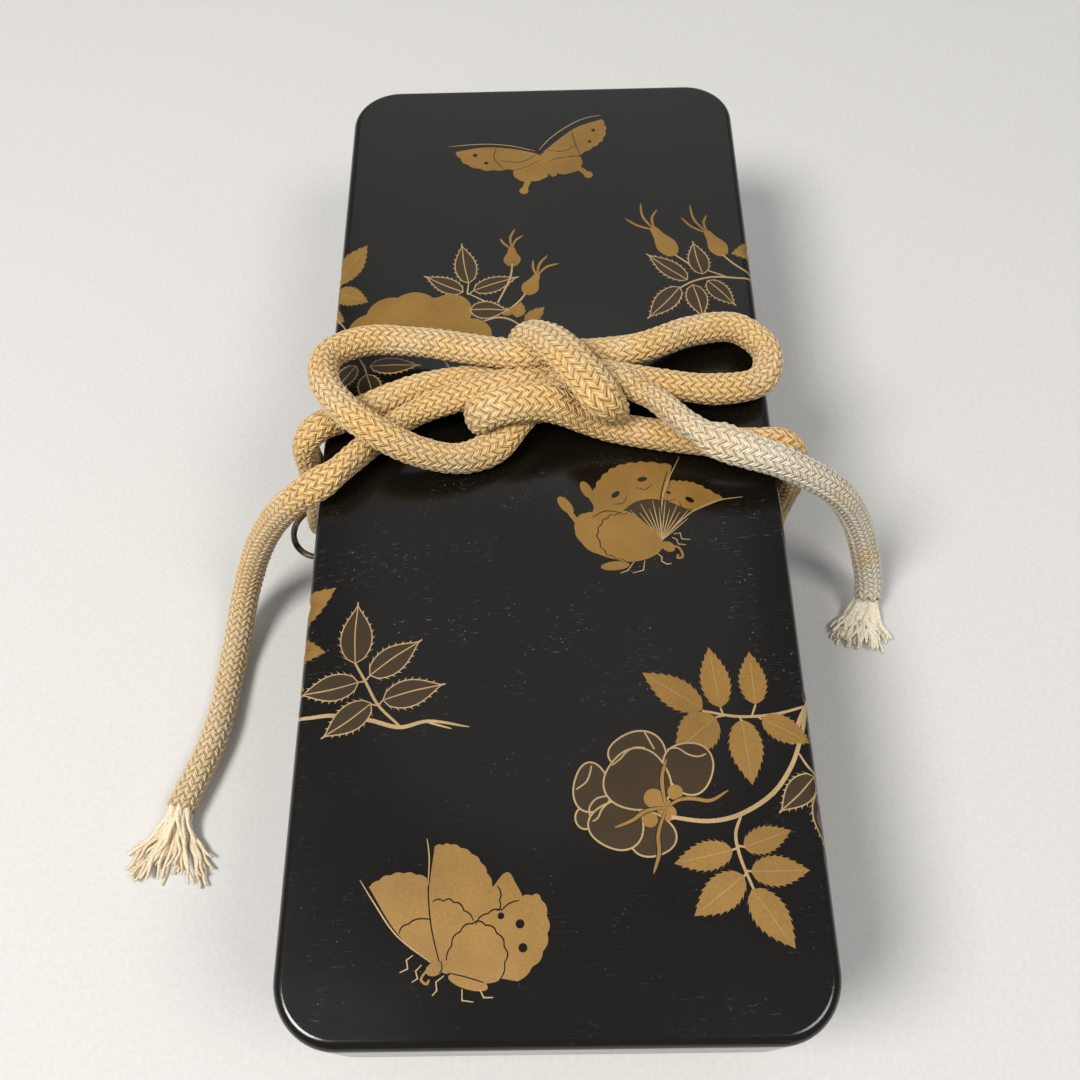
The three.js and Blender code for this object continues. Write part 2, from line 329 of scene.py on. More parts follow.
def braided_cord(name, route, pressed_parts, fade, seed, material):
    """A braided tube along a route, pressed flat where it crosses the knot.
    fade(number) is the bleaching by the route's numbers, from 0 to 1."""
    line = curve_through(route)
    along = lengths_along(line)
    length = along[-1]
    tangents, across, up = frames_along(line)
    number = np.arange(len(line)) / steps_per_span
    flat = sum(window(number, first, last, 0.8) * much for first, last, much in pressed_parts)
    towards = line - np.array(knot_heart)
    towards = unit(towards - tangents * np.sum(towards * tangents, axis=1, keepdims=True))
    around = braid_columns * steps_per_column
    rings = int((length - stitch_slant) / (stitch_length / steps_per_stitch)) + 1
    ring, turn = np.meshgrid(np.arange(rings), np.arange(around), indexing="ij")
    column = turn // steps_per_column
    part = (turn % steps_per_column) / steps_per_column
    rise = np.where(column % 2 == 0, part, 1 - part)
    spacing = (length - stitch_slant) / (rings - 1)
    place = ring * spacing + rise * stitch_slant
    stitch = ring / steps_per_stitch + 0.5 * (column % 2)
    draw = np.random.default_rng(seed)
    tone = draw.uniform(0, 1, (braid_columns, int(stitch.max()) + 1))[column, stitch.astype(int)]
    hump = np.abs(np.sin(np.pi * stitch)) ** 0.65 * (0.45 + 0.55 * np.sin(np.pi * part) ** 0.7)
    relief = hump * (1 - stitch_unevenness * tone)
    angle = 2 * np.pi * turn / around
    radius = cord_diameter / 2 - stitch_depth * (1 - relief)
    flat_here = np.interp(place, along, flat)[..., None]
    offset = radius[..., None] * (
        np.cos(angle)[..., None] * at(place, along, across)
        + np.sin(angle)[..., None] * at(place, along, up)
    )
    pressed = at(place, along, towards)
    inward = np.sum(offset * pressed, axis=-1, keepdims=True) * pressed
    sideways = offset - inward
    offset = sideways * (1 + cord_widening * flat_here) + inward * (1 - cord_flattening * flat_here)
    points = (at(place, along, line) + offset).reshape(-1, 3)
    faces = tube_faces(rings, around, ends=(len(points), len(points) + 1))
    points = np.vstack([points, line[:1], line[-1:]])
    cord = new_mesh(name, points, faces, [material])
    # The relief also goes to the material, which paints shade between the stitches and a highlight on their
    # tops from it.
    for key, numbers in (
        ("relief", relief), ("tone", tone), ("fade", np.interp(place, along, fade(number))),
        ("stitch", ring / steps_per_stitch),
    ):
        set_attribute(cord, key, np.append(numbers.ravel(), [0, 0]))
    return cord, line[::6], length


def yarn_fan(name, place, heading, spread, length, count, seed, material, fade):
    """The frayed end of a cord: wavy yarns that fan out from it and lie on the table."""
    draw = np.random.default_rng(seed)
    sides, rings = 6, 16
    points, faces, fades = [], [], []
    t = np.linspace(0, 1, rings)[:, None]
    turn = np.arange(sides) * 2 * np.pi / sides
    for _ in range(count):
        angle, radius = draw.uniform(0, 2 * np.pi), fringe_radius * math.sqrt(draw.uniform(0, 1))
        side, lift = radius * math.cos(angle), radius * math.sin(angle)
        way = heading + spread * np.clip(side / fringe_radius + draw.normal(0, 0.35), -1.1, 1.1)
        reach = length * draw.uniform(0.72, 1.06)
        rest = draw.uniform(0.35, 2.4) * mm
        bend = draw.normal(0, 0.16)
        wave = draw.uniform(0.15, 0.55) * mm
        phase, cycles = draw.uniform(0, 6.28), draw.uniform(1.5, 3.2)
        turning = way * smooth_step(t, 0, 0.45) + heading * (1 - smooth_step(t, 0, 0.45)) + bend * t**2
        forward = np.concatenate([np.cos(turning), np.sin(turning)], axis=1) * reach / (rings - 1)
        flat = np.cumsum(np.vstack([[0, 0], forward[1:]]), axis=0)
        sideways = np.array((-math.sin(heading), math.cos(heading)))
        swing = wave * np.sin(phase + cycles * 2 * np.pi * t) * smooth_step(t, 0.1, 0.5)
        flat = flat + sideways * (side + swing)
        height = (place[2] + lift) * (1 - smooth_step(t, 0, 0.6)) + rest * smooth_step(t, 0, 0.6)
        path = np.hstack([flat + np.array(place[:2]), np.maximum(height, 0.5 * mm)])
        _, across, up = frames_along(path)
        thick = (yarn_thickness * (1 - 0.4 * t**3))[:, None]
        tube = path[:, None] + thick * (
            np.cos(turn)[None, :, None] * across[:, None] + np.sin(turn)[None, :, None] * up[:, None]
        )
        base = len(points)
        points.extend(tube.reshape(-1, 3))
        fades.extend([fade + draw.uniform(-0.2, 0.2)] * (sides * rings))
        faces.extend(tube_faces(rings, sides, base))
        faces.append(tuple(base + j for j in reversed(range(sides))))
        faces.append(tuple(base + (rings - 1) * sides + j for j in range(sides)))
    fan = new_mesh(name, points, faces, [material])
    set_attribute(fan, "fade", fades)
    return fan


def whipping(name, top, material):
    """Turns of thread bound round a cord's upright end, with the end's yarns drawn together over it."""
    sides, per_turn = 32, 8
    height = thread_turns * thread_thickness
    steps = np.arange(thread_turns * per_turn + 1) / per_turn
    swell = thread_thickness / 2 * np.abs(np.sin(np.pi * steps)) ** 0.6
    radii = list(cord_diameter / 2 - 0.05 * mm + swell)
    heights = list(steps * thread_thickness - height)
    for lift in (0.1, 0.3, 0.5, 0.7, 0.85, 0.95):
        radii.append((cord_diameter / 2 - 0.1 * mm) * math.sqrt(1 - lift**2))
        heights.append(lift * bound_end_height)
    turn = np.arange(sides) * 2 * np.pi / sides
    points = []
    for radius, rise in zip(radii, heights):
        points.extend((radius * math.cos(angle), radius * math.sin(angle), rise) for angle in turn)
    faces = tube_faces(len(radii), sides, ends=(len(points) + 1, len(points)))
    points.extend([(0, 0, bound_end_height), (0, 0, -height)])
    return new_mesh(name, np.array(points) + np.array(top), faces, [material])


def braid_material():
    """Straw-coloured yarn with painted shade between the stitches and a painted highlight on their tops,
    bleached where the cord is worn.
    """
    add, link, finish = new_material("cord_braid")
    relief = attribute(add, "relief")
    fleck = noise(add, 1500.0, 2.0)
    # Painted shade and highlight: the relief darkens the straw colour to brown between the stitches and
    # lightens it to cream on their tops.
    straw_with_painted_shade = ramp(add, relief, [
        (0.0, (0.25, 0.105, 0.027)), (0.4, (0.72, 0.46, 0.165)), (0.8, (0.91, 0.66, 0.275)),
        (1.0, (1.0, 0.95, 0.60)),
    ])
    # The bleached colour gets the same painted shade between the stitches and painted highlight on their
    # tops.
    pale = ramp(add, relief, [
        (0.0, (0.36, 0.31, 0.21)), (0.5, (0.82, 0.76, 0.60)), (1.0, (1.0, 0.98, 0.90)),
    ])
    patchy = calc(add, "MULTIPLY_ADD", noise(add, 70.0, 3.0), 1.1, -0.55)
    bleached = calc(add, "ADD", patchy, attribute(add, "fade"), clamp=True)
    colour = mix_colour(add, bleached, straw_with_painted_shade, pale)
    tint = ramp(add, fleck, [(0.3, (0.72, 0.66, 0.58)), (0.62, 1)])
    colour = mix_colour(add, 0.6, colour, tint, "MULTIPLY")
    tone = attribute(add, "tone")
    shade = ramp(add, tone, [(0.0, (0.80, 0.76, 0.70)), (0.5, (0.95, 0.94, 0.92)), (1.0, 1)])
    colour = mix_colour(add, 0.9, colour, shade, "MULTIPLY")
    # Painted shade and highlight across each stitch: the colour is darker between its yarns and lighter
    # along them, and the same waves bump the surface.
    turns = calc(add, "MULTIPLY", attribute(add, "stitch"), yarns_per_stitch * 2 * math.pi)
    waves = calc(add, "SINE", turns)
    lit = calc(add, "MULTIPLY_ADD", waves, 0.5, 0.5)
    yarns = ramp(add, lit, [(0.0, (0.66, 0.58, 0.48)), (0.55, 1)])
    link(mix_colour(add, 0.8, colour, yarns, "MULTIPLY"), "Base Color")
    rough = calc(add, "MULTIPLY_ADD", fleck, 1.6, waves)
    return finish(rough, 0.7, 0.00012, Roughness=0.62, Sheen_Weight=0.25, Sheen_Roughness=0.4)


def yarn_material():
    """Loose cream yarn of the frayed ends."""
    add, link, finish = new_material("cord_yarn")
    fibre = noise(add, 2400.0, 3.0)
    colour = mix_colour(add, attribute(add, "fade"), (0.70, 0.54, 0.31), (0.95, 0.90, 0.74))
    tint = ramp(add, fibre, [(0.35, (0.70, 0.64, 0.55)), (0.6, 1)])
    link(mix_colour(add, 0.8, colour, tint, "MULTIPLY"), "Base Color")
    return finish(fibre, 0.6, 0.0001, Roughness=0.75, Sheen_Weight=0.3)


def outline(inset, spacing=column_spacing):
    """Points round the lid's outline, drawn in by inset, or out where it is negative."""
    radius = max(corner_radius - inset, 0.01)
    half_x = lid_width / 2 - corner_radius
    half_y = lid_length / 2 - corner_radius
    points = []
    for corner, (sx, sy) in enumerate(((1, 1), (-1, 1), (-1, -1), (1, -1))):
        centre = np.array((sx * half_x, sy * half_y))
        for step in range(corner_steps + 1):
            angle = (corner + step / corner_steps) * math.pi / 2
            points.append(centre + radius * np.array((math.cos(angle), math.sin(angle))))
        along_y = corner % 2 == 1
        run = 2 * (half_y if along_y else half_x)
        count = int(run / spacing)
        reach = np.array(((0, -sy) if along_y else (-sx, 0))) * run
        points.extend([points[-1] + reach * (k / count) for k in range(1, count)])
    return np.array(points)


def lid_surface(places):
    """Where places on the lid's unrolled outside are, and which way the surface faces there.
    The top is as seen from above. Past its edge, the rounding and the skirt are laid out flat."""
    flat_x, flat_y = lid_width / 2 - edge_rounding, lid_length / 2 - edge_rounding
    radius = corner_radius - edge_rounding
    centre = np.stack([
        np.clip(places[:, 0], radius - flat_x, flat_x - radius),
        np.clip(places[:, 1], radius - flat_y, flat_y - radius),
    ], axis=1)
    away = places - centre
    distance = np.linalg.norm(away, axis=1)
    outward = away / np.maximum(distance, 1e-9)[:, None]
    past = np.maximum(distance - radius, 0)[:, None]
    edge = centre + outward * np.minimum(distance, radius)[:, None]
    x, y = edge[:, 0] / flat_x, np.maximum(np.abs(edge[:, 1]) - (flat_y - flat_x), 0) / flat_x
    height = lid_height - crown_rise + crown_rise * (1 - np.abs(x) ** 3) * (1 - y**3)
    slope = 3 * crown_rise / flat_x * np.stack([
        x * np.abs(x) * (1 - y**3), np.sign(edge[:, 1]) * y**2 * (1 - np.abs(x) ** 3)], axis=1)
    turn = np.minimum(past / edge_rounding, math.pi / 2)
    down = np.maximum(past - edge_rounding * math.pi / 2, 0)
    points = np.hstack([
        edge + outward * edge_rounding * np.sin(turn),
        height[:, None] - edge_rounding * (1 - np.cos(turn)) - down,
    ])
    normals = np.hstack([slope * np.cos(turn) + outward * np.sin(turn), np.cos(turn)])
    return points, unit(normals)


drawing = []


def area(points, kind):
    """Adds an area of the pattern. It starts at its lowest point and runs anticlockwise."""
    points = np.reshape(points, (-1, 2)).astype(float)
    points = np.roll(points, -int(np.argmin(points[:, 1])), axis=0)
    before, after = points[-1] - points[0], points[1] - points[0]
    if after[0] * before[1] - after[1] * before[0] < 0:
        points = np.roll(points[::-1], 1, axis=0)
    drawing.append((points, kind))


def soft(points, closed=False, per_span=7):
    """A smooth line through points on the lid, given as pairs or as x, y, x, y and so on."""
    points = np.reshape(points, (-1, 2))
    if closed:
        return curve_through([points[-1], *points, points[0], points[1]], per_span)[per_span:-per_span - 1]
    return curve_through(points, per_span)


def across_line(path):
    """How far along a line each point is, from 0 to 1, and the way to its left there."""
    direction = unit(np.gradient(path, axis=0))
    return np.linspace(0, 1, len(path))[:, None], np.stack([-direction[:, 1], direction[:, 0]], axis=1)


def line(points, width, kind=LINE, ends=0.35, per_span=7, scallops=0):
    """A drawn line with a fine start and end, and small arcs along it where it has scallops."""
    path = soft(points, per_span=per_span)
    t, side = across_line(path)
    if scallops:
        path = path + side * 0.4 * np.abs(np.sin(np.pi * scallops * t))
    half = side * width / 2 * (ends + (1 - ends) * np.sqrt(np.sin(np.pi * t)))
    area(np.vstack([path + half, (path - half)[::-1]]), kind)


def disc(centre, radius, kind, tall=1.0, turn=0.0):
    angle = np.linspace(0, 2 * np.pi, 13 + int(5 * radius))[:-1]
    flat = np.stack([radius * np.cos(angle), radius * tall * np.sin(angle)], axis=1)
    c, s = math.cos(turn), math.sin(turn)
    area(np.array(centre) + flat @ np.array(((c, s), (-s, c))), kind)


def discs(kind, *rows):
    for x, y, radius in rows:
        disc((x, y), radius, kind)


def laid_along(start, end):
    """Two ends as arrays, the way from one to the other, the way across, and their distance."""
    start, end = np.array(start, float), np.array(end, float)
    length = np.linalg.norm(end - start)
    axis = (end - start) / length
    return start, end, axis, np.array((-axis[1], axis[0])), length


def leaf(base, tip, width, dark=False, teeth=8):
    """A toothed rose leaf: solid gold with a faint rib, or dark with fine gold outlines."""
    base, tip, axis, side, length = laid_along(base, tip)

    def edge(t, sign, out=0.0):
        half = width / 2 * np.sin(np.pi * t**0.78) ** (0.7 + 0.4 * t)
        return base + axis * length * t + side * sign * (half + out)

    tooth = 0.7 if dark else 0.45
    rows = {1: [base], -1: [base]}
    for sign, row in rows.items():
        for k in range(teeth):
            t = (k + 0.5) / (teeth + 1.3)
            row.append(edge(t, sign))
            if not dark:
                row.append(edge(t + 0.75 / teeth, sign, tooth))
                row.append(edge(t + 0.5 / teeth, sign, 0.05))
    area([*rows[1], tip, *rows[-1][:0:-1]], SHADE if dark else GOLD)
    if not dark:
        line([base + axis * length * 0.05, tip - axis * length * 0.14], 0.09, ends=0.6, per_span=3)
    if dark:
        steps = np.linspace(0.0, 1, 14)
        for sign in (1, -1):
            line([edge(t, sign) for t in steps], 0.25, ends=0.9, per_span=1)
            for k in range(teeth):
                t = (k + 0.5) / (teeth + 0.9)
                point = edge(t + 0.55 / teeth, sign, tooth)
                area([edge(t, sign), point, edge(t + 0.28 / teeth, sign)], LINE)
        bow = side * width * 0.05
        line([base, base + axis * length * 0.5 + bow, tip - axis * length * 0.04], 0.27, ends=0.7)
        line([tip - axis * 0.06 * length, tip + axis * 0.07 * length], 0.4, ends=0.3, per_span=3)


def leaves(*rows, dark=False):
    """Leaves from rows of the base, the tip and the width."""
    for row in rows:
        leaf(row[:2], row[2:4], row[4], dark)


def rose_hip(neck, end, width, sepals, stem):
    """A small gold hip with long curling sepals at its neck, on a fine stem."""
    neck, end, axis, side, length = laid_along(neck, end)
    side = side * width / 2
    area(soft([
        neck + side * 0.25, neck + axis * length * 0.3 + side * 0.55, neck + axis * length * 0.68 + side,
        end + side * 0.45, end - side * 0.45, neck + axis * length * 0.68 - side,
        neck + axis * length * 0.3 - side * 0.55, neck - side * 0.25,
    ], closed=True, per_span=4), GOLD)
    for place in np.reshape(sepals, (-1, 2)):
        way = place - neck
        bow = np.array((-way[1], way[0])) * 0.12
        line([neck + axis * length * 0.1, neck + way * 0.5 + bow, place], 0.6, GOLD, ends=0.2, per_span=6)
    line(stem, 0.45, ends=0.8)


def petal(centre, wide, tall, lobes, turn, wave=0.055):
    """An outlined dark petal, round with a gently waved rim."""
    angle = np.linspace(0, 2 * np.pi, 49)[:-1]
    reach = 1 + wave * np.cos(lobes * angle + turn)
    rim = np.array(centre) + np.stack([wide * reach * np.cos(angle), tall * reach * np.sin(angle)], axis=1)
    area(rim, SHADE)
    line([*rim, rim[0]], 0.34, ends=1.0, per_span=1)


def wing(root, first, crest, last, scallops=9, depth=0.35, kind=GOLD):
    """A wing: straight sides from its root, and a scalloped outer edge through the crest."""
    rim = soft([first, *np.reshape(crest, (-1, 2)), last], per_span=12)
    t, out = across_line(rim)
    out = out * np.sign(np.sum(out * (rim - np.array(root)), axis=1, keepdims=True))
    area(np.vstack([[root], rim + out * depth * (np.abs(np.sin(np.pi * scallops * t)) - 0.5)]), kind)


def legs(*rows):
    """Thin jointed legs and feelers, each a row of points."""
    for points in rows:
        line(points, 0.27, ends=0.6, per_span=1)


def far_butterfly():
    """Seen from behind in flight, its forewings spread and its hindwings tailed."""
    body = (0.5, 90)
    wing(body, (-1.5, 91.9), [-7, 93.6, -15, 94.6], (-22.7, 93.2), 1, 0)
    wing(body, (-22.7, 93.2), [-20, 88.9, -14.6, 86.4, -8.2, 86.4], (-3, 86), 7, 0.4)
    wing(body, (0.2, 92.6), [5.6, 98.4, 9.3, 101.5], (15.8, 104.3), 1, 0)
    wing(body, (15.8, 104.3), [16.6, 100.3, 15.4, 96.2, 12.6, 93.4], (8.5, 90.5), 7, 0.4)
    wing(body, (-7.8, 85.8), [-6.6, 83, -2.8, 82], (1.4, 83.6), 3, 0.3)
    wing(body, (3.4, 84.6), [6.9, 84.6, 9.8, 87], (9.8, 90.6), 3, 0.3)
    for root, end in (((-3.6, 83), (-4.9, 78.9)), ((8.6, 87), (11.5, 84))):
        line([root, end], 1.5, GOLD, ends=0.8, per_span=4)
        disc(end, 1.15, GOLD)
    line([0.2, 92, 1, 88, 3, 83.8], 2.4, GOLD, ends=0.5)
    line([0.2, 90.2, -3.6, 87.6, -7.8, 86], 0.16, LACQUER)
    line([1.4, 89.2, 5, 90.2, 9, 91], 0.16, LACQUER)
    discs(LACQUER, (-17.5, 91.8, 0.62), (-14.6, 88.9, 0.55), (13.3, 100.1, 0.55), (12.2, 95.9, 0.5))
    line([-24.4, 95.3, -14.7, 95.8, -8.2, 94.9, -2, 92.9], 0.24)
    line([-1, 93.2, 1.9, 97.3, 6.2, 101.5, 10.9, 104.6, 15.4, 105.8], 0.24)
    for vein in (
        [-12.1, 94.3, -12.6, 90.8, -10.2, 86.6], [-1.2, 92, -5.5, 89, -10.6, 89.6],
        [7.7, 100, 8.3, 96, 9.6, 91.4], [1.6, 93, 5.4, 92.6, 8.6, 94.6],
    ):
        line(vein, 0.22, LACQUER, ends=0.6)


def fan_butterfly():
    """Seen from the side with its forewings raised like a fan."""
    root = (23.6, -21.2)
    line([6.4, -17, 4.6, -14.2, 2.6, -10.6], 1.1, GOLD, ends=1)
    disc((3.6, -12.3), 1.15, GOLD, 2.2, 0.62)
    line([11.2, -14.6, 9.4, -11, 7.6, -7.4], 1, GOLD, ends=1)
    disc((8.2, -8.6), 1.1, GOLD, 2.1, 0.45)
    wing(root, (9.6, -15.6), [9.9, -8.4, 13.6, -3.6, 19.6, -1.9], (26.9, -2.6), 11, 0.45)
    wing(root, (26.3, -6.6), [31.2, -7.2], (37.4, -11), 7, 0.4)
    wing(root, (14.9, -14.6), [19, -11.6, 23.9, -11.3], (31.4, -14.6), 1, 0, SHADE)
    area([*root, 27.6, -17, 31, -14.2, 37.4, -11.3, 38.4, -12.6, 31.5, -17.2], LACQUER)
    for k in range(13):
        angle = math.radians(138 - 8.0 * k)
        reach = 9.8 if k % 2 else 8.0
        end = (root[0] + reach * math.cos(angle), root[1] + reach * math.sin(angle))
        line([root, end], 0.22, per_span=3)
    line([*root, 24.6, -10, 28.7, -0.6], 0.26)
    line([*root, 27.6, -16.8, 31, -14, 36.4, -11.6, 41.6, -10.7], 0.26)
    line([23.9, -19, 24.1, -10.5, 25.9, -4], 0.26, LACQUER)
    wing((23.4, -22.6), (10.8, -13.9), [6.6, -14.8, 5.4, -18.4, 8.2, -23], (15.5, -26), 6, 0.15)
    hindwing = [10.2, -18.6, 12, -14.6, 16.6, -14, 20.8, -17.4, 24, -22, 21.6, -24.8, 16.4, -26, 12, -24.2]
    area(soft(hindwing, closed=True), GOLD)
    line([17, -14.2, 12.6, -15, 10, -18.8, 11.6, -24, 16, -26.2], 0.26, LACQUER, 0.35, 9, 9)
    line([15.6, -14.4, 12, -13.9, 9.2, -15.4], 0.24, LACQUER)
    disc((13.6, -26.9), 3, GOLD, 0.34, 0.08)
    for x, y, size in ((20.3, -6.2, 1.1), (14.4, -9.9, 1.1), (25.8, -9.6, 0.6), (30.2, -11.4, 1.05)):
        eye = np.array((x, y))
        way = unit(np.array(root) - eye)
        cross = np.array((-way[1], way[0]))
        disc(eye, size, LACQUER, 0.55, math.atan2(cross[1], cross[0]))
        low = eye + way * (0.5 + size)
        line([low + cross * 1.9, low + way, low - cross * 1.9], 0.18, LACQUER)
    disc((24.9, -22.6), 1.5, GOLD, 0.75, -0.6)
    line([25.4, -22.2, 27.2, -23, 27.7, -25, 26.6, -25.2, 26.9, -24.4], 0.5, GOLD, ends=0.7)
    legs(
        [22.4, -24, 23.4, -25, 23.3, -26, 24.4, -26.7, 25.3, -26.5],
        [17.6, -26, 16.2, -28, 14.6, -28.6], [19.8, -25.8, 19.4, -28, 17.2, -28.6],
        [26.2, -19.6, 27.6, -19.4, 27.8, -20.8, 29.6, -21],
        [25.8, -20.4, 26.8, -21, 27, -22, 28.6, -22.2],
    )


def near_butterfly():
    """Seen from the side at rest, its hindwings scalloped and spotted."""
    root = (-20.6, -104.2)
    wing(root, (-25.6, -101.2), [-29.2, -97.2], (-33.7, -90.4), 1, 0)
    wing(root, (-33.7, -90.4), [-30.6, -88.6, -26.6, -88.1], (-23.1, -89), 5, 0.3)
    wing(root, (-22.3, -97.5), [-22.7, -91.5], (-21.9, -83.3), 1, 0)
    wing(root, (-21.9, -83.3), [-18.6, -83.2, -14.1, -85.6, -11.4, -90], (-10.4, -95.4), 9, 0.3)
    wing((-13.6, -97.2), (-11.2, -90.6), [-8.4, -88.4, -6.2, -92], (-6, -93.2), 2, 0.3)
    crest = [-7, -93, -3, -92.4, -1.2, -97.2, -2.4, -102.4]
    wing((-19.8, -104.4), (-11, -94.6), crest, (-6.6, -106.8), 9, 0.4)
    area(soft([
        -19.6, -103.4, -17.9, -99, -14.6, -96.9, -10.8, -98.1, -8.6, -102, -9.6, -106.2, -14, -106.9,
        -18, -105.6,
    ], closed=True), GOLD)
    line([-22.9, -88.4, -22.8, -92, -22.1, -97.5, -20.4, -103.8], 0.26, LACQUER, ends=0.7)
    line([-23.4, -82, -22.9, -85.2, -22.9, -90.4], 0.24, LINE)
    line([-35.4, -89.2, -32.4, -93.5, -28.3, -98.8, -21.8, -103.6], 0.26, LINE)
    for points, scallops in (
        ([-27.8, -98.6, -26.2, -97, -22.4, -96.2], 2),
        ([-22, -93.2, -18.2, -93.4, -14.6, -96.6], 4),
        ([-14.2, -97.2, -12, -95.4, -9.6, -94.8, -6.4, -93.2], 3),
        ([-19.2, -103.6, -17.6, -99.2, -14.3, -97, -10.8, -98.4, -8.9, -102, -9.9, -106.4], 8),
        ([-10.4, -90.6, -10, -93.2, -10.4, -95], 2),
    ):
        line(points, 0.28, LACQUER, ends=0.7, per_span=14, scallops=scallops)
    discs(LACQUER, (-9.7, -95.8, 0.6), (-6.3, -97.2, 0.8), (-5.8, -101.2, 0.8))
    disc((-15.4, -106.7), 3.6, GOLD, 0.32, -0.28)
    disc((-19.2, -104.2), 1.1, GOLD)
    disc((-21.3, -104.5), 1.6, GOLD, 0.7, 0.3)
    line([-20.2, -103.2, -20, -104.4, -20.4, -105.2], 0.22, LACQUER, ends=0.7)
    line([-18.6, -105.2, -15.6, -105.9, -12.6, -106.8], 0.22, LACQUER, ends=0.7)
    line([-22.6, -104.6, -23.6, -106.2, -22.6, -106.9, -22.2, -106.2], 0.45, GOLD, ends=0.7)
    legs(
        [-25.2, -102.2, -26.3, -103, -26, -104.4, -27.4, -105],
        [-23.6, -103.8, -24.6, -104.8, -24.2, -106, -25.2, -106.6],
        [-19.6, -105.6, -21, -106.6, -20.8, -108, -21.6, -108.8],
        [-16.4, -107.8, -16.4, -109.6, -14.4, -109.9],
        [-13.4, -107.8, -12.6, -109.2, -11, -109.2],
    )


def right_far_spray():
    rose_hip(
        (26.8, 65.8), (31.4, 57), 5.2, [24.2, 73.8, 28.2, 71.7, 20.1, 68.9],
        [31.7, 57, 34.6, 54.4, 38, 51.6])
    rose_hip(
        (39.9, 64.6), (43.6, 57), 4.8, [36.5, 73.2, 40.4, 69.8, 34, 69],
        [43.3, 57, 46, 54, 50.2, 50.6])
    line([31, 45.8, 35.3, 48.6, 40.1, 50, 46, 49.8, 54, 49, 60, 46.4], 0.55)
    line([38.4, 52.4, 43.8, 50.1], 0.4)
    leaves(
        (38, 50.9, 36.4, 60.7, 4.9), (34.2, 49.2, 25.3, 56.9, 4.6), (32.2, 46.9, 24.4, 38, 5.1),
        (35.3, 47.6, 37, 38.1, 4.9), (39, 48.9, 44.8, 41.7, 4.6), dark=True)
    leaves((55.5, 59.5, 45.4, 57.4, 5.6), (57, 47, 66, 54, 5.6), (59, 46, 64, 37, 5.4))


def blossom_spray():
    """The big gold blossom that the cord crosses, its leaves and its hips."""
    line([-18.3, 49.5, -18.4, 45.9, -17.1, 47], 0.4)
    leaves(
        (-18.3, 49.3, -20.2, 61.1, 5.2), (-19.6, 46.6, -28.6, 51.6, 4.3),
        (-17.1, 47, -6.9, 50.7, 4.4), dark=True)
    line([-14.8, 37.6, -11.3, 38.7, -8.5, 38.1, -5.5, 35.9], 0.5)
    line([-18.4, 46.2, -14, 43.4, -9.6, 40.6], 0.4)
    rose_hip(
        (-8, 60.3), (-7.8, 54.4), 4.2, [-10.9, 63.2, -7.2, 66.2, -5.2, 64],
        [-7.8, 55, -8.3, 50.8, -11.3, 43])
    rose_hip(
        (-1.7, 51.6), (-4.4, 45.6), 4.2, [-2.8, 56, 0.7, 57.4, 3.4, 54.8],
        [-4.6, 45.8, -6.2, 43.4, -8.6, 41])
    disc((-9, 40.4), 1.5, GOLD, 0.8)
    leaf((-6.8, 38.6), (-5.7, 43.2), 3, teeth=3)
    leaf((-4.8, 36.8), (-0.2, 41.6), 3.2, teeth=3)
    discs(
        GOLD, (-41, 35.4, 5.6), (-36.6, 39.8, 5.9), (-31.2, 40.8, 6.2), (-26, 39.6, 5.6),
        (-22.6, 40.8, 5.3), (-22, 36, 5), (-17.4, 33.8, 4.8))
    disc((-29.5, 35), 12.5, GOLD, 0.38)
    leaf((-17.8, 41.2), (-9, 40.8), 5, dark=True)
    leaves(
        (-50.6, 50.8, -43.6, 62.6, 6.4), (-50.8, 48.4, -42.2, 44.6, 5.4),
        (-54, 43, -47.6, 39, 4.6), (-58, 52, -65, 60, 5))
    line([-47, 36.5, -52, 44, -54, 50, -59, 53], 0.55)
    leaves(
        (-40.7, 25.7, -29.5, 25.5, 4.2), (-41.3, 23.4, -39.2, 15, 5.2),
        (-43.9, 26, -49.2, 19, 4.2), dark=True)
    line([-43.3, 28, -42, 25.6, -41.3, 23.4], 0.45)
    line([-23.6, 26.8, -22.4, 24.6, -21.7, 22], 0.5)


def left_near_spray():
    leaves(
        (-39.1, -47.3, -39.4, -34.7, 6.4), (-36, -49.9, -26.5, -43, 5.6),
        (-38.2, -51.3, -49.3, -53.6, 5.4), (-33.1, -55.1, -21.6, -52.2, 5.6), dark=True)
    twig = [-58, -55, -50.3, -58.3, -42.9, -58, -35.6, -59.1, -29.5, -60.7, -24.1, -59.6, -16, -60.9]
    line(twig, 0.85, ends=0.2)
    line([-24.6, -59.7, -19.4, -61.2], 0.4)
    line([-39.1, -47.3, -36.8, -51.2, -34, -56.1, -29.5, -60.5], 0.55, ends=0.7)
    line([-38.2, -51.3, -36.9, -51, -36, -49.9], 0.36)
    line([-35.4, -55.9, -34, -56.1, -33.1, -55.1], 0.36)
    leaf((-35.4, -55.7), (-44.2, -62.2), 5.4, dark=True)
    leaves((-57, -40, -44.2, -30.4, 6.4), (-57, -43.5, -45.2, -44.7, 5.6), (-58, -47, -49, -52.6, 4.6))
    line([-58, -55, -60, -48, -58, -40, -61, -30], 0.6)
    leaves((-60, -36, -64, -26, 5.2))


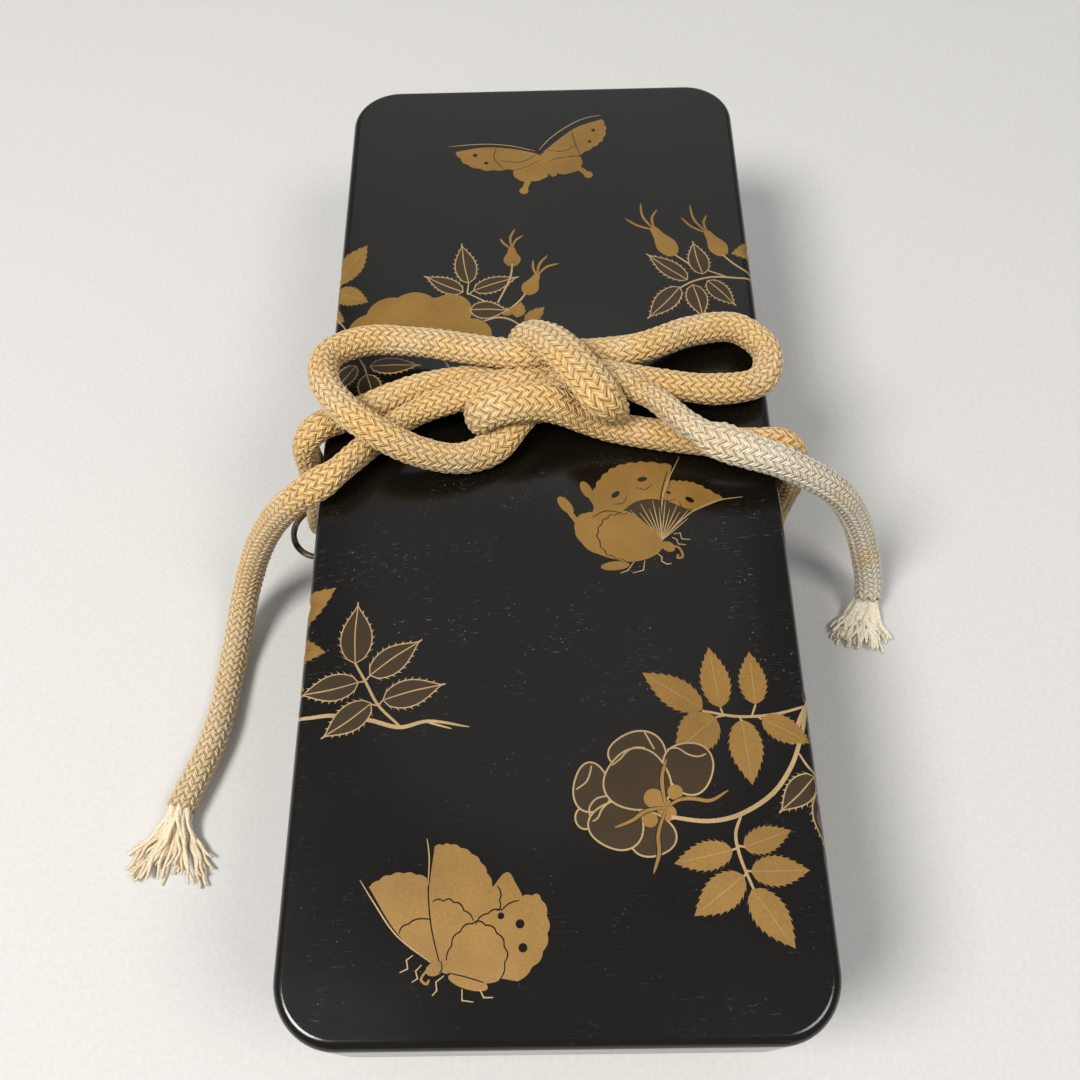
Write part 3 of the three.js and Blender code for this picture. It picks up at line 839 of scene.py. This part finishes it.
def right_near_spray():
    line([45.6, -65, 49.9, -57.2, 58, -50], 1, ends=0.9)
    line([29.1, -58.4, 35.9, -59.6, 43, -59.2, 49.9, -57.4], 0.55, ends=0.8)
    stem = [21.8, -78.8, 28.5, -79.6, 34.1, -78.6, 41, -74.6, 45.1, -69.5, 47.4, -64.5, 49.6, -58]
    line(stem, 0.85, ends=0.8)
    line([46.6, -66.4, 48.4, -69.6, 50.4, -71.4], 0.45)
    line([34.7, -78.6, 33.4, -82, 33.8, -86, 35.7, -91.8], 0.6, ends=0.7)
    leaves(
        (29.2, -58.1, 17.9, -50.4, 5.9), (32.7, -57.8, 31.4, -45.2, 5.6),
        (39.6, -57.2, 39.4, -46.2, 5.2), (36.6, -60.2, 37.4, -73, 6.2),
        (40.5, -60, 49.6, -64.9, 4.9), (34.6, -84.4, 43.7, -81.4, 4.6),
        (32.6, -84.9, 21.7, -87.2, 5), (35.5, -88.7, 46.3, -88.6, 5.2),
        (34.2, -89.4, 24.7, -96.3, 6), (35.4, -91.8, 42.1, -101.9, 6))
    for stalk in (
        (33.2, -59.6, 32.7, -57.8), (33.2, -59.4, 31.6, -59.7), (38.6, -59.6, 39.6, -57.2),
        (36.2, -59.6, 36.6, -60.6), (39.4, -59.4, 40.5, -60.2), (33.3, -84, 34.9, -84.4),
        (33.9, -84.4, 32.4, -84.9), (34.6, -88.6, 35.7, -88.7), (34.8, -88.8, 34.2, -89.6),
    ):
        line(stalk, 0.4, ends=0.8, per_span=3)
    leaf((49.4, -71.3), (42.3, -77.8), 5, dark=True)
    leaf((51.4, -73.4), (50.6, -85.2), 6, dark=True)
    leaves((57, -51, 62, -60, 5.6), (56, -50, 63, -44, 5.4))


def outlined_rose():
    leaves((31.6, -59.7, 23.4, -66.4, 7.6))
    for petal_shape in (
        ((5.9, -78.7), 1.8, 2.2, 2, 0), ((7.2, -73.2), 3.5, 4.7, 3, 1.2), ((16.3, -66.5), 5.5, 4.1, 3, 2.6),
        ((25.7, -69.5), 4.7, 5, 3, 4.4), ((18, -82), 4.3, 4, 3, 0.6), ((11.7, -80.1), 5.1, 4.5, 3, 3.2),
        ((15.9, -71.8), 6.3, 5.9, 3, 1.9),
    ):
        petal(*petal_shape)
    for fold in (
        [7.3, -68.9, 6.9, -70.6, 6.2, -72, 4.3, -73.4], [17.7, -62.5, 19.4, -65.9],
        [9.9, -74.7, 8, -75.2, 6.7, -76.8, 6.7, -78.4],
        [7.2, -79.4, 8.2, -78.7, 8.9, -77.3, 10.2, -76],
        [11.2, -68.9, 12.9, -67.6, 14, -66.4, 15.7, -65.5, 17.6, -65.6],
        [21.9, -65.9, 23.7, -65.7, 25.8, -67, 27.7, -67.4, 29.2, -66.9],
    ):
        line(fold, 0.32, ends=0.8)
    discs(
        GOLD, (18.7, -75.3, 1.85), (22.8, -74.2, 1.45), (17.8, -79.2, 1.45), (21.3, -78, 1.5),
        (20.5, -76.8, 1.6))
    for sepal in (
        [20.5, -73.5, 20.6, -70.8, 21.6, -67.8], [23.5, -75.6, 26, -75.4, 29.2, -75.8, 32.8, -73.9],
        [17.2, -77.6, 14.5, -79.3, 11.2, -80.6], [19.2, -81.8, 19.1, -85.4, 17.9, -88.9],
    ):
        line([21, -77, *sepal], 1.05, LACQUER, ends=0.15)
        line([21, -77, *sepal], 0.7, GOLD, ends=0.2)


def draw_pattern():
    for figure in (
        far_butterfly, right_far_spray, blossom_spray, fan_butterfly, left_near_spray, outlined_rose,
        right_near_spray, near_butterfly,
    ):
        figure()


def quarter(inset, height, radius, start, end, steps=4):
    """Rows of a quarter round about a centre, its angles in quarter turns."""
    angles = np.linspace(start, end, steps + 1) * math.pi / 2
    return [(inset - radius * math.cos(a), height + radius * math.sin(a)) for a in angles]


def lid_mesh(materials):
    """The lid: its outside cut along the pattern's lines, and a plain hollow inside."""
    fillet = edge_rounding * math.pi / 2
    skirt = lid_height - crown_rise - edge_rounding - rim_height
    edges = [edge_rounding - d for d in np.concatenate([
        np.linspace(0, fillet, 7), fillet + np.linspace(0, skirt - rim_rounding, 6)[1:]])]
    rows = [outline(inset) for inset in edges]
    count = len(rows[0])
    xs = np.arange(-lid_width / 2 + 5, lid_width / 2 - 4.9, top_spacing)
    ys = np.arange(-lid_length / 2 + 5, lid_length / 2 - 4.9, top_spacing)
    grid = np.stack(np.meshgrid(xs, ys), axis=-1).reshape(-1, 2)
    corner = np.maximum(np.abs(grid) - (lid_width / 2 - corner_radius, lid_length / 2 - corner_radius), 0)
    grid = grid[np.linalg.norm(corner, axis=1) < corner_radius - edge_rounding - 1.5]
    places = np.vstack([rows[-1], *rows[:-1], grid])
    shapes = [list(range(count))]
    for points, _ in drawing:
        shapes.append(list(range(len(places), len(places) + len(points))))
        places = np.vstack([places, points])
    found = delaunay_2d_cdt([Vector(p) for p in places], [], shapes, 1, 1e-4, True)
    flat = np.array([tuple(v) for v in found[0]])
    points, normals = lid_surface(flat)
    faces = [tuple(f) for f in found[2]]
    kinds = [drawing[max(owners) - 1][1] if max(owners, default=0) > 0 else LACQUER for owners in found[5]]
    made_from = {source: number for number, sources in enumerate(found[3]) for source in sources}
    last = [made_from[k] for k in range(count)]
    rim_centre = rim_height + rim_rounding
    for inset, height in [
        *quarter(rim_rounding, rim_centre, rim_rounding, -1 / 3, -1, 2),
        *quarter(lid_wall - rim_rounding, rim_centre, rim_rounding, -1, -2, 3),
        *quarter(lid_wall + inner_rounding, ceiling_height - inner_rounding, inner_rounding, 0, 1),
    ]:
        row = outline(inset)
        first = len(points)
        points = np.vstack([points, np.column_stack([row, np.full(count, height)])])
        for k in range(count):
            n = (k + 1) % count
            faces.append((last[n], last[k], first + k, first + n))
            kinds.append(LACQUER)
        last = list(range(first, first + count))
    faces.append(tuple(reversed(last)))
    kinds.append(LACQUER)
    lid = new_mesh("lid_lacquered", points * mm, faces, materials)
    lid.data.polygons.foreach_set("material_index", kinds)
    inside = np.array([tuple(v.normal) for v in lid.data.vertices])
    inside[:len(normals)] = normals
    lid.data.normals_split_custom_set_from_vertices([tuple(n) for n in inside])
    return lid


def swept_shell(name, profile, materials):
    """A closed shell with the box's outline, from rows of inset and height, capped at both ends."""
    points = []
    for inset, height in profile:
        ring = outline(inset)
        points.extend((x, y, height) for x, y in ring)
    count = len(ring)
    faces = tube_faces(len(profile), count)
    faces.append(tuple(reversed(range(count))))
    faces.append(tuple(range(len(points) - count, len(points))))
    return new_mesh(name, np.array(points) * mm, faces, materials)


def body_mesh(materials):
    """The box under the lid: walls, a floor and a cove inside, its rims rounded."""
    inner = body_inset + body_wall
    profile = [
        *quarter(body_inset + foot_rounding, foot_rounding, foot_rounding, -1, 0),
        *quarter(body_inset + rim_rounding, body_height - rim_rounding, rim_rounding, 0, 1),
        *quarter(inner - rim_rounding, body_height - rim_rounding, rim_rounding, 1, 2),
        *quarter(inner + floor_cove, body_floor + floor_cove, floor_cove, 0, -1, 6),
    ]
    body = swept_shell("box_body_lacquered", profile, materials)
    body.data.normals_split_custom_set([tuple(n) for n in flat_cap_normals(body.data)])
    return body


def flat_cap_normals(mesh):
    """Smooth normals for the walls, and true flat ones for the two big level faces."""
    caps = {p.index: p.normal for p in mesh.polygons if len(p.vertices) > 4}
    for polygon in mesh.polygons:
        for corner in polygon.loop_indices:
            if polygon.index in caps:
                yield caps[polygon.index]
            else:
                yield mesh.vertices[mesh.loops[corner].vertex_index].normal


def wire_ring(centre, radius, wire, turn, around=72, sides=18):
    """Points and faces of a round wire ring, turned by a matrix about its centre."""
    points, faces = [], []
    for i in range(around):
        a = 2 * math.pi * i / around
        thick = wire * (1 + 0.025 * math.sin(5 * a + 1) + 0.02 * math.sin(11 * a))
        for j in range(sides):
            b = 2 * math.pi * j / sides
            reach = radius + thick * math.cos(b)
            place = Vector((reach * math.cos(a), reach * math.sin(a), thick * math.sin(b)))
            points.append(Vector(centre) + turn @ place)
            n, m = (i + 1) % around, (j + 1) % sides
            faces.append((i * sides + j, n * sides + j, n * sides + m, i * sides + m))
    return points, faces


def rosette(side, petals=8, rings=14, around=96):
    """A small domed flower on the body's wall, its back flat against it."""
    wall = body_half_width + contact_gap
    points = [Vector((side * wall, 0, eye_height))]
    profile = [(k / 4, 0.0) for k in range(1, 5)]
    profile += [(1 - 0.03 * k, 0.9 * rosette_thickness * math.sin(k * math.pi / 20)) for k in range(1, 4)]
    for k in range(1, rings):
        dome = math.sin(math.pi / 2 * k / rings)
        profile.append((0.91 - 0.91 * k / rings, rosette_thickness * (0.45 + 0.55 * dome)))
    for reach, lift in profile:
        for j in range(around):
            a = 2 * math.pi * j / around
            notch = abs(math.sin(petals * a / 2)) ** 0.4
            radius = rosette_radius * reach * (1 - 0.10 * (1 - notch) * reach)
            out = wall + lift * (0.72 + 0.28 * notch if reach > 0.3 else 1)
            points.append(Vector((side * out, radius * math.cos(a), eye_height + radius * math.sin(a))))
    points.append(Vector((side * (wall + rosette_thickness), 0, eye_height)))
    faces = tube_faces(len(profile), around, 1, (0, len(points) - 1))
    if side < 0:
        faces = [tuple(reversed(face)) for face in faces]
    return points, faces


def fittings(side, droop, material):
    """One side's rosette with its eye, and the loose ring that hangs from it."""
    label = "left" if side < 0 else "right"
    pivot = body_half_width + contact_gap + eye_radius + eye_wire
    upright = Matrix.Rotation(math.pi / 2, 3, "X")
    points, faces = rosette(side)
    eye_points, eye_faces = wire_ring((side * pivot, 0, eye_height), eye_radius, eye_wire, upright, 40, 14)
    faces += [tuple(len(points) + k for k in face) for face in eye_faces]
    eye = new_mesh(f"ring_eye_{label}_bronze", [p * mm for p in points + eye_points], faces, [material])
    centre = (side * (pivot + ring_radius * math.cos(droop)), 0, eye_height - ring_radius * math.sin(droop))
    points, faces = wire_ring(centre, ring_radius, ring_wire, Matrix.Rotation(side * droop, 3, "Y"))
    ring = new_mesh(f"ring_{label}_bronze", [p * mm for p in points], faces, [material])
    for piece, node in ((eye, f"ring_eye_{label}"), (ring, f"ring_{label}")):
        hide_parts(node)
        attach(piece, "root")
    return ring


def lacquer_material(name):
    """Deep black lacquer with a soft gloss, dust specks and fine scratches that run across the box."""
    add, link, finish = new_material(name)
    place = object_place(add)
    cloud = noise(add, 22.0, 4.0)
    speck = add("ShaderNodeTexVoronoi", [("Vector", place)], Scale=600.0).outputs["Distance"]
    stretched = add("ShaderNodeMapping", [("Vector", place)])
    stretched.inputs["Scale"].default_value = (420, 3200, 400)
    hair = noise(add, 1.0, 2.0, stretched.outputs["Vector"])
    dust = ramp(add, speck, [(0.06, 1), (0.12, 0)])
    rare = ramp(add, noise(add, 95.0, 1.0), [(0.50, 0), (0.60, 1)])
    along_box = add("ShaderNodeSeparateXYZ", [("Vector", place)]).outputs["Y"]
    mapped = add("ShaderNodeMapRange", [("Value", along_box)], From_Min=-0.11, From_Max=0.02)
    band = ramp(add, mapped.outputs["Result"], [(0.35, 0.3), (0.5, 0.9), (0.72, 0.9), (0.9, 0.1)])
    rare = mix_colour(add, 1.0, rare, band, "MULTIPLY")
    dusty = mix_colour(add, 1.0, dust, rare, "MULTIPLY")
    scratch = ramp(add, hair, [(0.62, 0), (0.76, 0.55)])
    worn = mix_colour(add, 1.0, scratch, rare, "MULTIPLY")
    marks = mix_colour(add, 1.0, dusty, worn, "ADD")
    base = ramp(add, cloud, [(0.3, (0.0034, 0.0027, 0.0017)), (0.7, (0.0052, 0.0043, 0.0029))])
    link(mix_colour(add, marks, base, (0.10, 0.10, 0.095)), "Base Color")
    gloss = ramp(add, cloud, [(0.3, 0.13), (0.75, 0.20)])
    link(mix_colour(add, marks, gloss, 0.5), "Roughness")
    return finish(hair, 0.035, 0.00004, IOR=1.45)


def gold_material(name, low, high, metal, rough):
    """Gold powder rubbed into the lacquer: satin, faintly mottled and hand burnished."""
    add, link, finish = new_material(name)
    powder = noise(add, 2600.0, 2.0)
    colour = ramp(add, noise(add, 85.0, 3.0), [(0.3, low), (0.7, high)])
    grain = ramp(add, powder, [(0.3, (0.80, 0.78, 0.74)), (0.6, 1)])
    link(mix_colour(add, 0.8, colour, grain, "MULTIPLY"), "Base Color")
    return finish(powder, 0.25, 0.00003, Metallic=metal, Roughness=rough)


def bronze_material():
    """Aged bronze: dull brown with darker hollows and small bright rubbed places."""
    add, link, finish = new_material("aged_bronze")
    patina = noise(add, 420.0, 4.0)
    link(ramp(add, patina, [
        (0.35, (0.045, 0.034, 0.022)), (0.55, (0.17, 0.13, 0.085)), (0.75, (0.36, 0.29, 0.19)),
    ]), "Base Color")
    link(ramp(add, patina, [(0.3, 0.6), (0.7, 0.3)]), "Roughness")
    return finish(patina, 0.3, 0.00006, Metallic=0.9)


def place_camera():
    camera = bpy.data.objects.new("camera", bpy.data.cameras.new("camera"))
    camera.data.lens = camera_focal_mm
    camera.data.sensor_width = camera_sensor_mm
    camera.data.clip_start = 0.01
    camera.matrix_world = (
        Matrix.Translation(camera_place) @ Matrix.Rotation(camera_yaw, 4, "Z")
        @ Matrix.Rotation(math.pi / 2 - camera_pitch, 4, "X") @ Matrix.Rotation(camera_roll, 4, "Z")
    )
    bpy.context.scene.collection.objects.link(camera)
    bpy.context.scene.camera = camera


def area_light(name, place, aim, size, power, colour=(1, 1, 1)):
    light = bpy.data.lights.new(name, "AREA")
    light.shape = "DISK"
    light.size = size
    light.energy = power
    light.color = colour
    lamp = bpy.data.objects.new(name, light)
    lamp.location = place
    lamp.rotation_euler = (Vector(aim) - Vector(place)).to_track_quat("-Z", "Y").to_euler()
    bpy.context.scene.collection.objects.link(lamp)


def set_studio():
    """A pale floor, a dim room and soft lights from behind the camera and from the left."""
    bpy.context.scene.view_settings.view_transform = "Standard"
    world = bpy.data.worlds.new("room")
    world.use_nodes = True
    world.node_tree.nodes["Background"].inputs["Color"].default_value = (0.95, 0.97, 1.0, 1)
    world.node_tree.nodes["Background"].inputs["Strength"].default_value = 0.30
    bpy.context.scene.world = world
    area_light("window", (-0.5, -0.3, 0.95), (0, 0, 0.03), 0.4, 11.5, (1.0, 0.98, 0.95))
    area_light("right_window", (0.5, -0.3, 0.95), (0, 0, 0.03), 0.4, 4, (1.0, 0.98, 0.95))
    area_light("ceiling", (0, 0.85, 1.95), (0, 0, 0.05), 1.2, 1.0, (0.98, 0.98, 1.0))
    area_light("far_lamp", (0.2, 1.9, 1.5), (0, 0.05, 0.03), 2.0, 4, (0.97, 0.98, 1.0))
    add, link, finish = new_material("floor_paper")
    paper = ramp(add, noise(add, 900.0, 2.0), [(0.3, (0.58, 0.57, 0.55)), (0.7, (0.62, 0.61, 0.59))])
    link(paper, "Base Color")
    corners = [(x * floor_reach, y * floor_reach, 0) for x, y in ((-1, -1), (1, -1), (1, 1), (-1, 1))]
    floor = new_mesh("floor", corners, [(0, 1, 2, 3)], [finish(Roughness=0.8)], smooth=False)


def left_fade(number):
    worn = 0.65 * window(number, 29.5, 36, 1.0) + 0.6 * window(number, 31.5, 32.6, 0.4)
    return 0.05 + worn + 0.6 * window(number, 33.3, 34.6, 0.4) + 0.9 * smooth_step(number, 34.9, 35.9)


def right_fade(number):
    return 0.05 + 0.4 * smooth_step(number, 34, 38)


place_camera()
set_studio()

braid = braid_material()
yarn = yarn_material()
left_cord, left_line, left_length = braided_cord(
    "cord_left_braid", left_route, left_pressed, left_fade, 11, braid)
right_cord, right_line, right_length = braided_cord(
    "cord_right_braid", right_route, right_pressed, right_fade, 12, braid)
right_fringe = yarn_fan(
    "fringe_right", (0.0801, -0.0120, 0.0045), math.radians(-104), 0.50, 13 * mm, 70, 3, yarn, 0.9)
left_fringe = yarn_fan(
    "fringe_left", (-0.0875, -0.0625, 0.0039), math.radians(-99), 0.58, 18 * mm, 44, 5, yarn, 0.4)
left_whipping = whipping("whipping_left", left_route[0], yarn)
right_whipping = whipping("whipping_right", right_route[0], yarn)

draw_pattern()
lacquer = lacquer_material("black_lacquer")
lid = lid_mesh([
    lacquer,
    gold_material("gold_powder", (0.224, 0.117, 0.020), (0.298, 0.161, 0.031), 0.25, 0.5),
    gold_material("thin_gold_wash", (0.026, 0.0135, 0.0015), (0.039, 0.0195, 0.0025), 0.0, 0.35),
    gold_material("gold_line", (0.34, 0.225, 0.102), (0.47, 0.32, 0.150), 0.2, 0.45),
])
body = body_mesh([lacquer])
bronze = bronze_material()
left_ring = fittings(-1, 0.0, bronze)
right_ring = fittings(1, right_ring_droop, bronze)

for piece, slot, nodes in (
    (left_cord, "cord", ["cord_left"]), (right_cord, "cord", ["cord_right"]), (right_fringe, "cord", []),
    (left_fringe, "cord", []), (left_whipping, "cord", []), (right_whipping, "cord", []),
    (lid, "lid_lacquer", ["lid"]), (body, "lacquer", ["box_body"]),
):
    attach(piece, "root")
    if nodes:
        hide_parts(*nodes)
